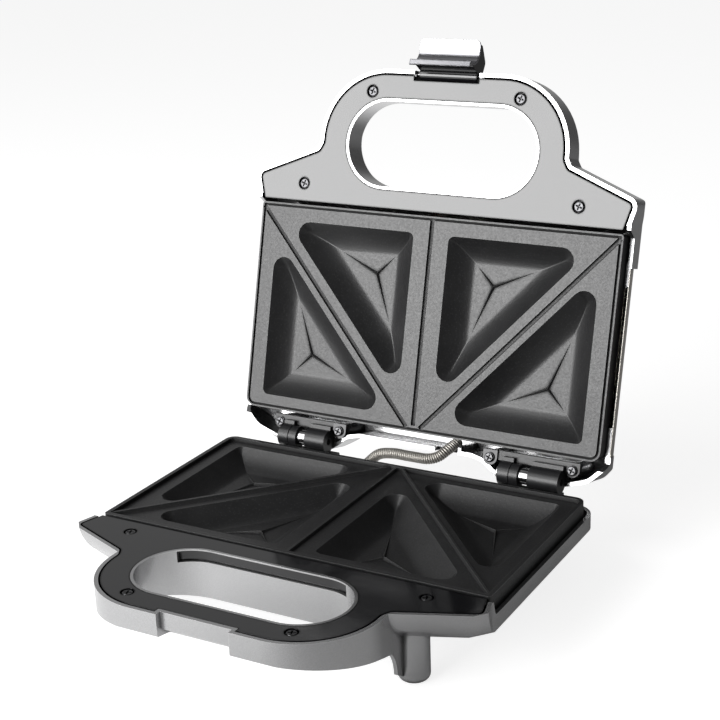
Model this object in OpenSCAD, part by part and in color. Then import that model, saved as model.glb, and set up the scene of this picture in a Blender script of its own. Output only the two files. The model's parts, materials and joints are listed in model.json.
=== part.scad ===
// Two-slice sandwich toaster, drawn with its lid leaning open.
// X runs across, Y from front to rear and Z up. Every half is drawn as if closed,
// with its plates meeting at z = 0 and their rear edges at y = 0.

/* [Grill plates] */
// Width of each grill plate
plate_w = 218; // [214:0.5:222]
// Depth of each grill plate, front to rear
plate_d = 118.8; // [116:0.2:122]
// Depth of a plate's outer skirt
plate_skirt = 10.5; // [9.5:0.5:11.5]
// Radius of a plate's rear corners
plate_rear_r = 5.5; // [3:0.5:8]
// Radius of a plate's front corners
plate_front_r = 1.6; // [1:0.2:3]
// Half of the gap left between the two closed plates
plate_gap = 0.25; // [0.2:0.05:0.4]
// Width of the lower plate's raised rim
plate_rim_w = 2.3; // [1.8:0.1:2.8]
// Height of the lower plate's rim above its lands
plate_rim_h = 2.1; // [1.6:0.1:2.5]
// Width of a sealing ridge at its foot
ridge_w = 2.2; // [1.6:0.1:3]
// Height of a sealing ridge above the lands
ridge_h = 1.7; // [1.2:0.1:2]
// Clearance on each side of a ridge in its groove
groove_clear = 0.3; // [0.2:0.05:0.5]
// Depth of the sealing grooves in the upper plate
groove_depth = 1.3; // [0.8:0.1:1.6]

/* [Pockets] */
// Depth of each sandwich pocket below the lands
pocket_depth = 9.6; // [8:0.2:10.5]
// Width of a pocket's sloping side, seen from above
pocket_slope = 14; // [11:0.5:16]
// Land between a plate's side and its outer pocket
land_side = 10.6; // [9:0.2:12]
// Land between a plate's rear edge and its outer pocket
land_rear = 7.9; // [7:0.1:9]
// Land between a plate's front edge and its inner pocket
land_front = 9.6; // [9:0.2:11]
// Land between the centre line and an inner pocket
land_centre = 10.6; // [9.6:0.2:12]
// Land between a diagonal ridge and the outer pocket
land_outer = 4.7; // [4:0.1:6]
// Land between a diagonal ridge and the inner pocket
land_inner = 6.5; // [5:0.1:7]
// Radius of a pocket's square corner
pocket_square_r = 3.5; // [2:0.5:5]
// Radius of a pocket's sharp corners
pocket_sharp_r = 7; // [5:0.5:8]
// Height of the crease ridges on a pocket floor
crease_h = 1.4; // [0.6:0.1:1.8]
// Width of a crease ridge where its three arms meet
crease_w = 2.0; // [1.4:0.1:2.6]
// Thickness of metal left behind a pocket and the lands
plate_t = 3; // [2.6:0.1:3.4]

/* [Handles] */
// Front to rear size of a handle cover
handle_d = 74.1; // [72:0.5:80]
// Half width of a handle grip
grip_half_w = 72.1; // [70:0.5:76]
// Radius of the grip's front corners
grip_r = 37.3; // [34:0.5:39]
// Step of the shoulders inside each plate side, beside the plates
shoulder_rear_in = 0.5; // [0:0.1:2]
// Step of the shoulders outside each plate side, at their widest
shoulder_front_out = 3.3; // [2.6:0.1:4]
// Length of a shoulder's short side
shoulder_d = 14.2; // [12:0.2:16]
// Half width of the grip where it meets the shoulders
neck_half_w = 74.8; // [74:0.2:77]
// Distance from the cover's rear edge to that neck
neck_d = 29.2; // [28:0.2:31]
// Radius of the finger opening's round ends
opening_r = 23.5; // [22:0.5:24.5]
// Distance between the centres of those round ends
opening_span = 66; // [60:1:68]
// Distance from the cover's rear edge to the opening's centre
opening_y = 35.8; // [35:0.2:38]
// Thickness of a handle cover
cover_t = 2.2; // [2:0.1:2.6]
// Depth of a cover's face below the parting plane
cover_drop = 0.4; // [0.3:0.05:0.6]
// Gap between a cover and the plates behind it
cover_back_gap = 1.6; // [1.4:0.1:2]
// Black joint line round a cover
cover_line = 0.5; // [0.3:0.1:0.8]

/* [Housings] */
// Wall thickness of the moulded housings
wall = 2; // [1.8:0.1:2.2]
// Width of the lip ring round a finger opening
lip_w = 1.4; // [1.2:0.1:1.8]
// Distance of the housings' sides outside the plate sides
body_out = 3; // [2.8:0.1:4]
// Distance from the parting plane to a housing's side wall edge
side_drop = 8; // [7:0.5:9]
// Depth of the lower pan below the parting plane
pan_depth = 28; // [27.6:0.2:30]
// Height of the lid above the parting plane
lid_height = 28; // [27.6:0.2:30]
// Radius of the curve that runs in under a shoulder
shoulder_curve = 23.4; // [21:0.2:26]
// Height of that curve's centre above the parting plane
shoulder_curve_z = 2.9; // [2:0.1:4]
// Depth that a shoulder's outer corner is cut back
shoulder_corner_in = 2.1; // [1:0.1:2.6]
// Thickness of the lower grip at its front
grip_t = 12; // [11:0.5:13]
// Thickness of the lid grip at its front
lid_grip_t = 15; // [14.5:0.5:17]
// Distance of the lower housing's rear wall behind the plates
base_rear = 8; // [7.6:0.2:9]
// Bend radius of the lid's steel cover
lid_bend_r = 18; // [14:1:20]
// Thickness of the lid's steel sheet
steel_t = 0.5; // [0.4:0.1:0.8]
// Distance from the plates' rear edge to the steel's rear edge
steel_rear = 2.5; // [2:0.5:5]
// Distance of the steel's front edge behind the plates' front edge
steel_front_in = 17.3; // [15:0.1:22]
// Radius of the posts under the cover screws
cover_post_r = 3.6; // [3.2:0.1:4]
// Radius of the posts round the plate screws
plate_post_r = 5; // [4.6:0.1:5.4]
// Radius of the lamp lenses
lens_r = 3.5; // [3:0.1:4]
// Distance of each lamp from the centre line
lamp_x = 10; // [8:0.5:12]
// Distance of the lamps in front of the plates
lamp_front = 12; // [11.5:0.1:12.5]

/* [Feet] */
// Height of the parting plane above the ground
plate_height = 43; // [40:0.5:46]
// Diameter of each foot column
foot_d = 15.4; // [14:0.2:16]
// Half distance between the foot columns
foot_x = 76.2; // [75:0.2:78]
// Distance of the front columns in front of the plates
front_foot_d = 13.2; // [12:0.2:15]
// Distance of the rear columns inside the plates
rear_foot_d = 0.5; // [0:0.5:10]
// Radius of a column's lower edge
foot_round = 3; // [1.5:0.5:3.5]
// Diameter of a rubber sole
sole_d = 8; // [7:0.2:8.2]
// Length of a sole that stands out of its column
sole_out = 0.6; // [0.4:0.1:1]

/* [Hinges] */
// Angle that the lid leans open
lid_open = 105; // [100:1:105]
// Distance of the hinge axis behind the plates
hinge_y = 13.5; // [13.2:0.1:14.2]
// Radius of the lid's hinge barrels
barrel_r = 6.3; // [5.8:0.1:6.4]
// Radius of the base's hinge ring
ring_r = 6; // [5.4:0.1:6.2]
// Radius of the bright steel sleeve
sleeve_r = 4.4; // [4:0.1:5]
// Radius of the hinge pins
pin_r = 2; // [1.6:0.1:2.2]
// Running clearance round every pin
pin_clear = 0.05; // [0.03:0.01:0.08]
// Side gap between neighbouring hinge pieces
hinge_side_gap = 0.3; // [0.25:0.05:0.4]
// Distance of the left hinge's outer end inside the plate's side
hinge_left_in = 27; // [26:0.5:28]
// Distance of the right hinge's inner end inside the plate's side
hinge_right_in = 54; // [53:0.5:55]
// Length of the outer barrel
barrel_len = 6.5; // [5.5:0.5:7]
// Length of the base's ring
ring_len = 4.7; // [4:0.1:5]
// Length of the steel sleeve
sleeve_len = 5.6; // [5:0.1:6]
// Length of the right hinge's inner barrel
block_len = 17.3; // [16:0.1:18]
// Length of the left hinge's inner barrel
left_block_len = 13; // [12:0.1:14]
// Distance of the bright straps from the centre line
strap_x = 46.8; // [46:0.1:47.5]
// Radius of the bright straps' round ends
strap_r = 4.3; // [4:0.1:4.6]

/* [Latch] */
// Distance of the latch pin behind the grip's front
latch_pin_back = 1.8; // [1.6:0.1:2.2]
// Height of the latch pin above the parting plane
latch_pin_z = 5; // [4.8:0.1:5.4]
// Radius of the latch pin
latch_pin_r = 1.3; // [1.1:0.1:1.5]
// Half width of the latch arm
latch_half_w = 17.2; // [15:0.2:17.6]
// Half width of the hook plate
hook_half_w = 18; // [16:0.2:18.4]
// Thickness of the hook plate
hook_t = 1.1; // [0.9:0.1:1.2]
// Side gap between the latch and its notch
latch_side_gap = 1.4; // [1:0.1:2]
// Depth of the latch recess in the lower grip
latch_recess = 3; // [2.6:0.1:3.2]
// Height of the wall that the hook catches
catch_h = 9; // [8.6:0.1:9.2]
// Depth of the ledge that the hook passes under
catch_d = 6.5; // [6.2:0.1:7]
// Distance of the latch screws from the centre line
latch_screw_x = 9; // [7:0.5:11]
// Distance of the latch screws in front of the latch pin
latch_screw_front = 15.2; // [14.6:0.1:15.6]

/* [Screws] */
// Radius of a cover screw's head
screw_head_r = 3; // [2.6:0.1:3.1]
// Radius of a cover screw's shank
screw_r = 1.5; // [1.3:0.1:1.6]
// Radius of a plate screw's shank
plate_screw_r = 1.6; // [1.4:0.1:1.8]
// Depth that a cover screw's head is sunk
screw_sink = 1.5; // [1.3:0.1:1.6]
// Clearance round a screw's shank
screw_clear = 0.1; // [0.05:0.05:0.2]
// Clearance round a sunk screw head
head_clear = 0.4; // [0.3:0.05:0.5]

/* [Heating] */
// Diameter of the tubular heating element
element_d = 6.4; // [6:0.1:6.6]
// Thickness of the reflector sheet
reflector_t = 0.8; // [0.6:0.1:1]
// Half width of the element's loop
element_half_w = 75; // [70:1:78]
// Bend radius of the element
element_bend = 15; // [12:1:18]
// Distance of the element's front run from the plate's front edge
element_front_in = 30.8; // [28:0.2:33]
// Distance of the element's rear run from the plate's rear edge
element_rear_in = 27; // [24:0.5:29]
// Distance of the thermostat from the plate's rear edge
thermostat_in = 66; // [60:1:68]
// Distance of the thermal fuse from the plate's rear edge
fuse_in = 46; // [42:1:50]
// Half length of the thermal fuse's body
fuse_half = 12; // [10:1:14]
// Half distance between the element clamps
clamp_x = 42; // [38:1:46]
// Diameter of the metal conduit between the halves
conduit_d = 5.5; // [5:0.1:5.6]

/* [Hidden] */
$fn = 48;
fine = 96;
reach = 400;
cut = 0.02;

// Places that several pieces share
body_half_w = plate_w / 2 + body_out;
shoulder_rear_w = plate_w / 2 - shoulder_rear_in;
shoulder_front_w = plate_w / 2 + shoulder_front_out;
steel_front = plate_d - steel_front_in;
hinge_left_x = hinge_left_in - plate_w / 2;
hinge_right_x = plate_w / 2 - hinge_right_in;
cover_y = -plate_d - cover_back_gap;
opening_centre = cover_y - opening_y;
grip_front = cover_y - handle_d;
rim_out = cover_line + wall;
lining_from = -49;
lining_to = 43.5;
lining_depth = 7;
lining_gap = 0.3;
lining_back = opening_centre + opening_r + lip_w + 2;
front_y = grip_front - rim_out;
cover_screw_places = [
    [shoulder_front_w - 29.4, cover_y - 10.5], [opening_span / 2 + 11.3, grip_front + 9.9]
];
plate_screw_places = [[50, -12], [50, -plate_d + 20.8]];
latch_screw_places = [-latch_screw_x, latch_screw_x];
foot_places = [[foot_x, -plate_d - front_foot_d], [foot_x, -rear_foot_d]];
bush_place = [38, base_rear, -18];
conduit_hole = [-33, -15];
hinge_screw_steps = [5, 30];
hinge_screw_z = -12.5;
lid_foot_screws_left = [-strap_x, hinge_left_x - 4.2];
lid_foot_screws_right = [strap_x, hinge_right_x + 38.8];
lid_screw_y = 6.8;
lid_foot_r = 3.8;
lamp_places = [-lamp_x, lamp_x];
lamp_y = cover_y + lamp_front - 1.6;
element_front = -plate_d + element_front_in;
element_rear = -element_rear_in;

// Depths of the inner parts behind each plate
lower_land = plate_gap + plate_rim_h;
plate_back = lower_land + pocket_depth + plate_t;
element_centre = plate_back + element_d / 2 + 0.05;
reflector_face = plate_back + element_d + 1.2;
reflector_back = reflector_face + reflector_t;
floor_face = pan_depth - wall;
screw_seat = reflector_back + 1.8;
lid_post_z = reflector_back - plate_rim_h;
lid_screw_seat = screw_seat - plate_rim_h;
lid_frame_z = lid_height - steel_t - 0.1;
lid_top = lid_height + 0.4;

// Latch places in the closed position
latch_y = front_y + latch_pin_back;
latch_barrel_r = 3.3;
notch_y = latch_y + latch_barrel_r + 0.4;
notch_half_w = hook_half_w + latch_side_gap;
recess_y = front_y + latch_recess;
catch_back = recess_y + catch_d;
latch_screw_y = latch_y - latch_screw_front;
hook_tab_y = latch_y - 19.2;
hook_bend_y = latch_y - 13.3;
hook_tab_z = 1.6;
hook_lip_y = latch_y - 6.1;
hook_lip_z = -9;

// The closed lid turned back about the hinge sets how far the part reaches behind
lid_grip_round = 6;
open_reach = hinge_y + (front_y + lid_grip_round - hinge_y) * cos(lid_open)
    + (lid_grip_t - lid_grip_round) * sin(lid_open) + lid_grip_round;
middle_y = (front_y + open_reach) / 2;

// Outline functions: a corner is [x, y, radius], listed counter-clockwise
function unit(v) = v / norm(v);
function spot(c) = [c[0], c[1]];
function outward(u) = [u[1], -u[0]];
function crossing(p, u, q, v) = p + u * cross(q - p, v) / cross(u, v);
function grown_radius(r, change) = r == 0 ? 0 : max(0.4, r + change);
function grown_corner(a, b, c, r, by) =
    let (u = unit(b - a), v = unit(c - b), turn = cross(u, v))
    let (m = crossing(b + by * outward(u), u, b + by * outward(v), v))
    [m[0], m[1], grown_radius(r, turn > 0 ? by : -by)];
function grown(corners, by) =
    let (n = len(corners))
    [for (i = [0 : n - 1]) grown_corner(spot(corners[(i + n - 1) % n]), spot(corners[i]),
        spot(corners[(i + 1) % n]), corners[i][2], by)];
function arc_steps(r) = r > 15 ? 18 : r > 5 ? 8 : 5;
function corner_arc(a, b, c, r, steps) =
    let (u = unit(a - b), v = unit(c - b), half = acos(u * v) / 2)
    let (centre = b + unit(u + v) * r / sin(half), start = b + u * r / tan(half) - centre)
    let (from = atan2(start[1], start[0]), sweep = (180 - 2 * half) * sign(cross(b - a, c - b)))
    [for (k = [0 : steps]) centre + r * [cos(from + sweep * k / steps), sin(from + sweep * k / steps)]];
function rounded(corners, steps = 0) =
    let (n = len(corners))
    [for (i = [0 : n - 1]) each corners[i][2] == 0 ? [spot(corners[i])]
        : corner_arc(spot(corners[(i + n - 1) % n]), spot(corners[i]), spot(corners[(i + 1) % n]),
            corners[i][2], steps == 0 ? arc_steps(corners[i][2]) : steps)];
function both_sides(right) =
    concat(right, [for (i = [len(right) - 1 : -1 : 0]) [-right[i][0], right[i][1], right[i][2]]]);

// Outlines, right half first, from front to rear
cover_corners = both_sides([
    [grip_half_w, grip_front, grip_r], [grip_half_w, cover_y - neck_d - 4.9, 6],
    [neck_half_w, cover_y - neck_d, 4], [shoulder_front_w, cover_y - shoulder_d, 3],
    [shoulder_rear_w, cover_y, 1]
]);
plate_corners = both_sides([
    [plate_w / 2, -plate_d, plate_front_r], [plate_w / 2, 0, plate_rear_r]
]);
pan_corners = both_sides([[body_half_w, cover_y - 5, 0], [body_half_w, base_rear, 12]]);
function lid_front_corners(rear) =
    both_sides([[body_half_w + 0.3, cover_y - 5, 0], [body_half_w + 0.3, rear, 0]]);
function lid_rear_corners(front) = both_sides([
    [body_half_w + 0.3, front, 0], [body_half_w + 0.3, 3, 7], [body_half_w - 9, 12.2, 14],
    [body_half_w - 30, hinge_y + 5.3, 12], [hinge_right_x - 2, hinge_y + 5.3, 6],
    [strap_x - 4.8, 10.5, 6], [strap_x - 11.8, 8.8, 5]
]);

// Side views, as [y, z, radius]
base_side = [
    [front_y, -grip_t, 1.2], [cover_y - neck_d - 11.4, -grip_t - 6.9, 30], [cover_y - 5.6, -pan_depth, 20],
    [base_rear, -pan_depth, 6], [base_rear, 5, 0], [front_y, 5, 0]
];
function lid_front_side(rear) = [
    [front_y, -5, 0], [rear, -5, 0], [rear, lid_top, 0], [cover_y + 2, lid_top, 9],
    [cover_y - 17, lid_grip_t + 2.4, 10], [cover_y - 40, lid_grip_t, 30],
    [front_y, lid_grip_t, lid_grip_round]
];
function lid_rear_side(front) = [
    [front, -5, 0], [hinge_y + 5.5, -5, 0], [hinge_y + 5.5, lid_top, 14], [front, lid_top, 0]
];

// Front views, as [x, z, radius]
base_section = both_sides([
    [94, -pan_depth, 6], [102, -18.6, 3], [shoulder_front_w + 2.7, -15.2, 4],
    [shoulder_front_w + 2.7, 5, 0]
]);
lid_section = both_sides([[body_half_w + 2.8, -5, 0], [body_half_w + 2.8, lid_top, lid_bend_r + 2]]);
lid_rear_section = both_sides([[body_half_w + 0.3, -5, 0], [body_half_w + 0.3, lid_top, lid_bend_r]]);
steel_section = both_sides([[body_half_w, -9, 0], [body_half_w, lid_height, lid_bend_r]]);

// Sealing lines and pockets of the right half of a plate
diagonal_rear = [4.1, -2.3];
diagonal_front = [plate_w / 2 - 1.2, -plate_d + 2.3];
diagonal_way = unit(diagonal_front - diagonal_rear);
diagonal_side = [-diagonal_way[1], diagonal_way[0]];
function on_diagonal(off, p, way) = crossing(diagonal_rear + off * diagonal_side, diagonal_way, p, way);
outer_square = [plate_w / 2 - land_side, -land_rear];
inner_square = [land_centre, -plate_d + land_front];
outer_front = on_diagonal(land_outer, outer_square, [0, 1]);
outer_rear = on_diagonal(land_outer, outer_square, [1, 0]);
inner_side = on_diagonal(-land_inner, inner_square, [1, 0]);
inner_rear = on_diagonal(-land_inner, inner_square, [0, 1]);
outer_pocket = [
    [outer_square[0], outer_square[1], pocket_square_r], [outer_rear[0], outer_rear[1], pocket_sharp_r],
    [outer_front[0], outer_front[1], pocket_sharp_r]
];
inner_pocket = [
    [inner_square[0], inner_square[1], pocket_square_r], [inner_side[0], inner_side[1], pocket_sharp_r],
    [inner_rear[0], inner_rear[1], pocket_sharp_r]
];
function triangle_middle(t) =
    let (a = norm(spot(t[1]) - spot(t[2])), b = norm(spot(t[2]) - spot(t[0])))
    let (c = norm(spot(t[0]) - spot(t[1])))
    (a * spot(t[0]) + b * spot(t[1]) + c * spot(t[2])) / (a + b + c);

// Solid through a stack of rings that all have the same number of points
module loft(rings) {
    n = len(rings[0]);
    last = len(rings) - 1;
    sides = [for (k = [0 : last - 1], i = [0 : n - 1])
        let (a = k * n + i, b = k * n + (i + 1) % n) each [[a, a + n, b + n], [a, b + n, b]]];
    caps = [[for (i = [0 : n - 1]) i], [for (i = [n - 1 : -1 : 0]) last * n + i]];
    polyhedron(points = [for (ring = rings) each ring], faces = concat(caps, sides));
}

module outline(corners, by = 0) {
    polygon(rounded(grown(corners, by)));
}

module slab(corners, by, low, high) {
    translate([0, 0, low]) linear_extrude(high - low) outline(corners, by);
}

// Side view outline swept along X
module swept_across(corners, by = 0) {
    rotate([90, 0, 90]) translate([0, 0, -reach / 2]) linear_extrude(reach) outline(corners, by);
}

// Front view outline swept along Y
module swept_along(corners, by = 0) {
    translate([0, reach / 2, 0]) rotate([90, 0, 0]) linear_extrude(reach) outline(corners, by);
}

module on_both_sides() {
    children();
    mirror([1, 0, 0]) children();
}

module at_places(places) {
    for (p = places) {
        translate([p[0], p[1], 0]) children();
        translate([-p[0], p[1], 0]) children();
    }
}

module along_x(from, to) {
    translate([from, 0, 0]) rotate([90, 0, 90]) linear_extrude(to - from) children();
}

module finger_opening(by, low, high) {
    translate([0, opening_centre, low]) linear_extrude(high - low) {
        square([opening_span, 2 * (opening_r + by)], center = true);
        for (side = [-1, 1]) translate([side * opening_span / 2, 0]) circle(r = opening_r + by, $fn = fine);
    }
}

module box(low, high) {
    translate(low) cube(high - low);
}

// A half of the toaster is drawn closed, then set on the ground and the lid turned back
module grounded() {
    translate([0, -middle_y, plate_height]) children();
}

module opened() {
    grounded() translate([0, hinge_y, 0]) rotate([-lid_open, 0, 0]) translate([0, -hinge_y, 0]) children();
}

// The upper plate has no rim, so what lies behind it sits nearer to the parting plane
module behind_upper_plate() {
    opened() mirror([0, 0, 1]) translate([0, 0, plate_rim_h]) children();
}

// Grill plates

// One sealing line, a bar with sloping sides from point to point
module sealing_bar(from, to, foot_w, top_w, low, high) {
    way = to - from;
    translate([from[0], from[1], 0]) rotate([0, 0, atan2(way[1], way[0])]) rotate([90, 0, 90])
        linear_extrude(norm(way))
            polygon([[-foot_w / 2, low], [foot_w / 2, low], [top_w / 2, high], [-top_w / 2, high]]);
}

module sealing_lines(foot_w, top_w, low, high) {
    on_both_sides() sealing_bar(diagonal_rear, diagonal_front, foot_w, top_w, low, high);
    sealing_bar([0, -plate_d + plate_rim_w / 2], [0, -3.5], foot_w, top_w, low, high);
}

function pocket_fall(t) = pocket_depth * (1 - pow(1 - t, 1.55));

module pocket_hollow(triangle, land) {
    steps = 7;
    falls = [for (k = [steps : -1 : 0]) k / steps];
    below = [for (t = falls) [for (p = rounded(grown(triangle, -pocket_slope * t), 6))
        [p[0], p[1], land - pocket_fall(t)]]];
    above = [for (p = rounded(grown(triangle, 1), 6)) [p[0], p[1], land + 0.9]];
    loft(concat(below, [above]));
}

// Three low arms that run half way from the middle of a pocket to its corners
module pocket_crease(triangle, land) {
    middle = triangle_middle(triangle);
    floor_z = land - pocket_depth;
    for (corner = triangle) {
        tip = (middle + spot(corner)) / 2;
        side = crease_w / 2 * outward(unit(tip - middle));
        polyhedron(
            points = [[middle[0], middle[1], floor_z + crease_h],
                [middle[0] + side[0], middle[1] + side[1], floor_z - 0.3],
                [middle[0] - side[0], middle[1] - side[1], floor_z - 0.3],
                [tip[0], tip[1], floor_z - 0.3]],
            faces = [[0, 1, 3], [0, 3, 2], [0, 2, 1], [1, 2, 3]]);
    }
}

// Cast plate seen from its cooking side, facing up
module grill_plate(raised) {
    land = raised ? -lower_land : -plate_gap;
    back = land - pocket_depth - plate_t;
    boss_h = reflector_face - plate_back;
    difference() {
        union() {
            difference() {
                slab(plate_corners, 0, -plate_skirt, -plate_gap);
                if (raised) slab(plate_corners, -plate_rim_w, land, 1);
            }
            for (triangle = [outer_pocket, inner_pocket])
                on_both_sides() slab(triangle, plate_t + 0.5, back, -plate_skirt + cut);
            at_places(plate_screw_places) translate([0, 0, back - boss_h]) cylinder(r = 4, h = boss_h + 1);
            if (raised) sealing_lines(ridge_w, ridge_w / 2, land - 0.5, land + ridge_h);
        }
        plate_underside(land);
        for (triangle = [outer_pocket, inner_pocket]) on_both_sides() pocket_hollow(triangle, land);
        if (!raised) {
            groove_w = ridge_w + 2 * groove_clear;
            sealing_lines(groove_w - 0.6, groove_w, land - groove_depth, land + 0.3);
            difference() {
                slab(plate_corners, -0.9, land - groove_depth, 1);
                slab(plate_corners, -plate_rim_w, -plate_skirt, 2);
            }
        }
        at_places(plate_screw_places) translate([0, 0, back - boss_h - 1])
            cylinder(r = plate_screw_r + screw_clear / 2, h = boss_h + 2.4);
    }
    for (triangle = [outer_pocket, inner_pocket]) on_both_sides() pocket_crease(triangle, land);
}

// The back of a plate is open between its pockets
module plate_underside(land) {
    difference() {
        slab(plate_corners, -plate_t, -plate_back - 1, land - plate_t - 1.2);
        for (triangle = [outer_pocket, inner_pocket])
            on_both_sides() slab(triangle, plate_t + 0.5, -plate_back - 2, 0);
        at_places(plate_screw_places) translate([0, 0, -reach / 2]) cylinder(r = 4, h = reach / 2);
    }
}

// Shared small pieces

// Pan head screw standing on its shank, its head's underside at z = 0
module pan_screw(head_r, head_h, shank_r, length) {
    difference() {
        rotate_extrude() polygon(concat(
            [[0, -length], [shank_r, -length], [shank_r, 0], [head_r, 0], [head_r, head_h * 0.45]],
            [for (a = [15 : 15 : 90])
                [head_r - head_h * 0.55 * (1 - sin(a)) - head_r * 0.3 * (1 - cos(a)),
                    head_h * (0.45 + 0.55 * sin(a))]],
            [[0, head_h]]));
        for (turn = [0, 90]) rotate([0, 0, turn + 20])
            translate([-head_r * 0.6, -head_r * 0.12, head_h * 0.35])
                cube([head_r * 1.2, head_r * 0.24, head_h]);
    }
}

// The closed form of a housing, grown or shrunk by the same amount all over
module housing_form(by, rear_plan, side, section) {
    intersection() {
        translate([0, 0, -reach / 2]) linear_extrude(reach) {
            outline(cover_corners, rim_out + by);
            outline(rear_plan, by);
        }
        swept_across(side, by);
        swept_along(section, by);
    }
}

// Lower housing

// Space below one face of the right shoulder, which curves in as it goes down
module below_shoulder(by, turn, inset) {
    r = shoulder_curve + by;
    middle = inset - rim_out + sqrt(pow(shoulder_curve, 2) - pow(shoulder_curve_z, 2));
    translate([shoulder_front_w, cover_y - shoulder_d, 0]) rotate([0, 0, turn])
        along_x(-reach / 4, reach / 4) polygon(concat(
            [for (a = [0 : 6 : 90]) [middle - r * cos(a), shoulder_curve_z - r * sin(a)]],
            [[middle + 15, -pan_depth - by], [middle + 15, -reach / 4], [-reach / 4, -reach / 4],
                [-reach / 4, shoulder_curve_z]]));
}

// The hollow, drawn smaller, keeps its full width where the handle cover lies
module base_form(by) {
    top = by < 0 ? -cover_drop - cover_t : reach;
    turn = atan2(neck_d - shoulder_d, shoulder_front_w - neck_half_w);
    difference() {
        housing_form(by, pan_corners, base_side, base_section);
        on_both_sides() intersection() {
            union() {
                below_shoulder(by, turn, 0);
                below_shoulder(by, turn + 27, shoulder_corner_in);
            }
            box([grip_half_w + rim_out + by, -reach, -reach], [reach, reach, top]);
        }
    }
}

// Everything above the rim of the lower housing
module above_base_rim() {
    along_x(-reach / 2, reach / 2) outline([
        [base_rear + 9, reach / 4, 0], [front_y - 9, reach / 4, 0], [front_y - 9, -cover_drop, 0],
        [cover_y - 1.8, -cover_drop, 1], [cover_y + 0.2, -side_drop, 2.5], [base_rear + 9, -side_drop, 0]
    ]);
}

// Column with a rounded foot, from the ground up to the given height
module foot_column(top) {
    low = sole_out - plate_height;
    bend = [for (a = [-90 : 15 : 0])
        [foot_d / 2 - foot_round + foot_round * cos(a), low + foot_round + foot_round * sin(a)]];
    rotate_extrude($fn = fine) polygon(concat([[0, low]], bend, [[foot_d / 2, top], [0, top]]));
}

// The front columns reach up under the shoulders, each with a web below the grip's side wall
module base_columns() {
    foot_y = foot_places[0][1];
    at_places([foot_places[0]]) foot_column(-grip_t - 4.4);
    at_places([foot_places[1]]) foot_column(max(-floor_face, -reflector_back - 1));
    on_both_sides() along_x(grip_half_w + rim_out - wall, grip_half_w + rim_out - 0.1) polygon(concat(
        [[foot_y, -grip_t - 5], [foot_y - 20, -grip_t - 5]],
        [for (a = [48 : -8 : 0]) [foot_y - 33 + 20 * cos(a), 8 - plate_height + 20 * sin(a)]],
        [[foot_y - foot_d / 2 + 1, 4 - plate_height], [foot_y, 4 - plate_height]]));
}

// Material that stays inside the hollow of the lower housing
module base_inner_walls() {
    finger_opening(lip_w, -reach / 2, 0);
    box([lining_from - wall, opening_centre + 15, -lining_depth - wall],
        [lining_to + wall, lining_back + wall, -cover_drop - cover_t - cut]);
    box([-notch_half_w - wall, front_y - 9, -reach], [notch_half_w + wall, recess_y + wall, 0]);
    box([-notch_half_w - wall, front_y - 9, -reach],
        [notch_half_w + wall, catch_back + wall, -catch_h + wall]);
    box([-reach, cover_y - wall, -reach], [reach, cover_y, -cover_drop - cover_t - cut]);
    at_places(cover_screw_places) translate([0, 0, -reach])
        cylinder(r = cover_post_r, h = reach - cover_drop - cover_t);
    at_places(plate_screw_places) translate([0, 0, -reach])
        cylinder(r = plate_post_r, h = reach - reflector_back);
    for (x0 = [hinge_left_x, hinge_right_x], step = hinge_screw_steps)
        translate([x0 + step, base_rear - 7.5, hinge_screw_z]) rotate([-90, 0, 0])
            cylinder(r = cover_post_r, h = reach);
}

module base_housing_cuts() {
    finger_opening(0, -reach / 2, 9);
    box([lining_from, opening_centre + 16, -lining_depth], [lining_to, lining_back, -cover_drop - 0.7]);
    box([-notch_half_w, front_y - 9, -reach], [notch_half_w, recess_y, 9]);
    box([-notch_half_w, front_y - 9, -reach], [notch_half_w, catch_back, -catch_h]);
    at_places(cover_screw_places) translate([0, 0, -cover_drop - 9.5])
        cylinder(r = screw_r + pin_clear, h = 12);
    at_places(plate_screw_places) {
        translate([0, 0, -reach]) cylinder(r = plate_screw_r + screw_clear, h = reach);
        translate([0, 0, -reach]) cylinder(r = screw_head_r + head_clear, h = reach - screw_seat);
    }
    for (x0 = [hinge_left_x, hinge_right_x], step = hinge_screw_steps)
        translate([x0 + step, base_rear - 6, hinge_screw_z]) rotate([-90, 0, 0])
            cylinder(r = screw_r + pin_clear, h = 12);
    translate([bush_place[0], base_rear - 5, bush_place[2]]) rotate([-90, 0, 0])
        cylinder(r = 5 + screw_clear, h = 9);
    translate([conduit_hole[0], base_rear - 5, conduit_hole[1]]) rotate([-90, 0, 0])
        cylinder(r = conduit_d / 2 + 1, h = 9);
    for (row = [-34, -70], k = [-5 : 5]) translate([k * 12 - 1.6, row - 13, -pan_depth - 1])
        cube([3.2, 26, wall + 2]);
    for (p = foot_places) on_both_sides() translate([p[0], p[1], -plate_height - 1])
        cylinder(r = sole_d / 2 + screw_clear, h = 1 + sole_out + 1.4);
}

module base_housing() {
    color("silver") grounded() difference() {
        union() {
            difference() {
                base_form(0);
                difference() {
                    base_form(-wall);
                    base_inner_walls();
                }
                above_base_rim();
            }
            base_columns();
        }
        base_housing_cuts();
    }
}

module rubber_soles() {
    color("dimgray") grounded() for (p = foot_places) on_both_sides()
        translate([p[0], p[1], -plate_height]) cylinder(r = sole_d / 2, h = sole_out + 1.4);
}

// Handle cover with its face at the parting side
module handle_cover(front_cut) {
    low = -cover_drop - cover_t;
    difference() {
        slab(cover_corners, -cover_line, low, -cover_drop);
        finger_opening(lip_w + 0.2, low - 1, 1);
        at_places(cover_screw_places) {
            translate([0, 0, low - 1]) cylinder(r = screw_r + screw_clear, h = 9);
            translate([0, 0, -cover_drop - screw_sink]) cylinder(r = screw_head_r + head_clear, h = 9);
        }
        box([-notch_half_w - front_cut[1], front_y, -9], [notch_half_w + front_cut[1], front_cut[0], 9]);
    }
}

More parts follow.
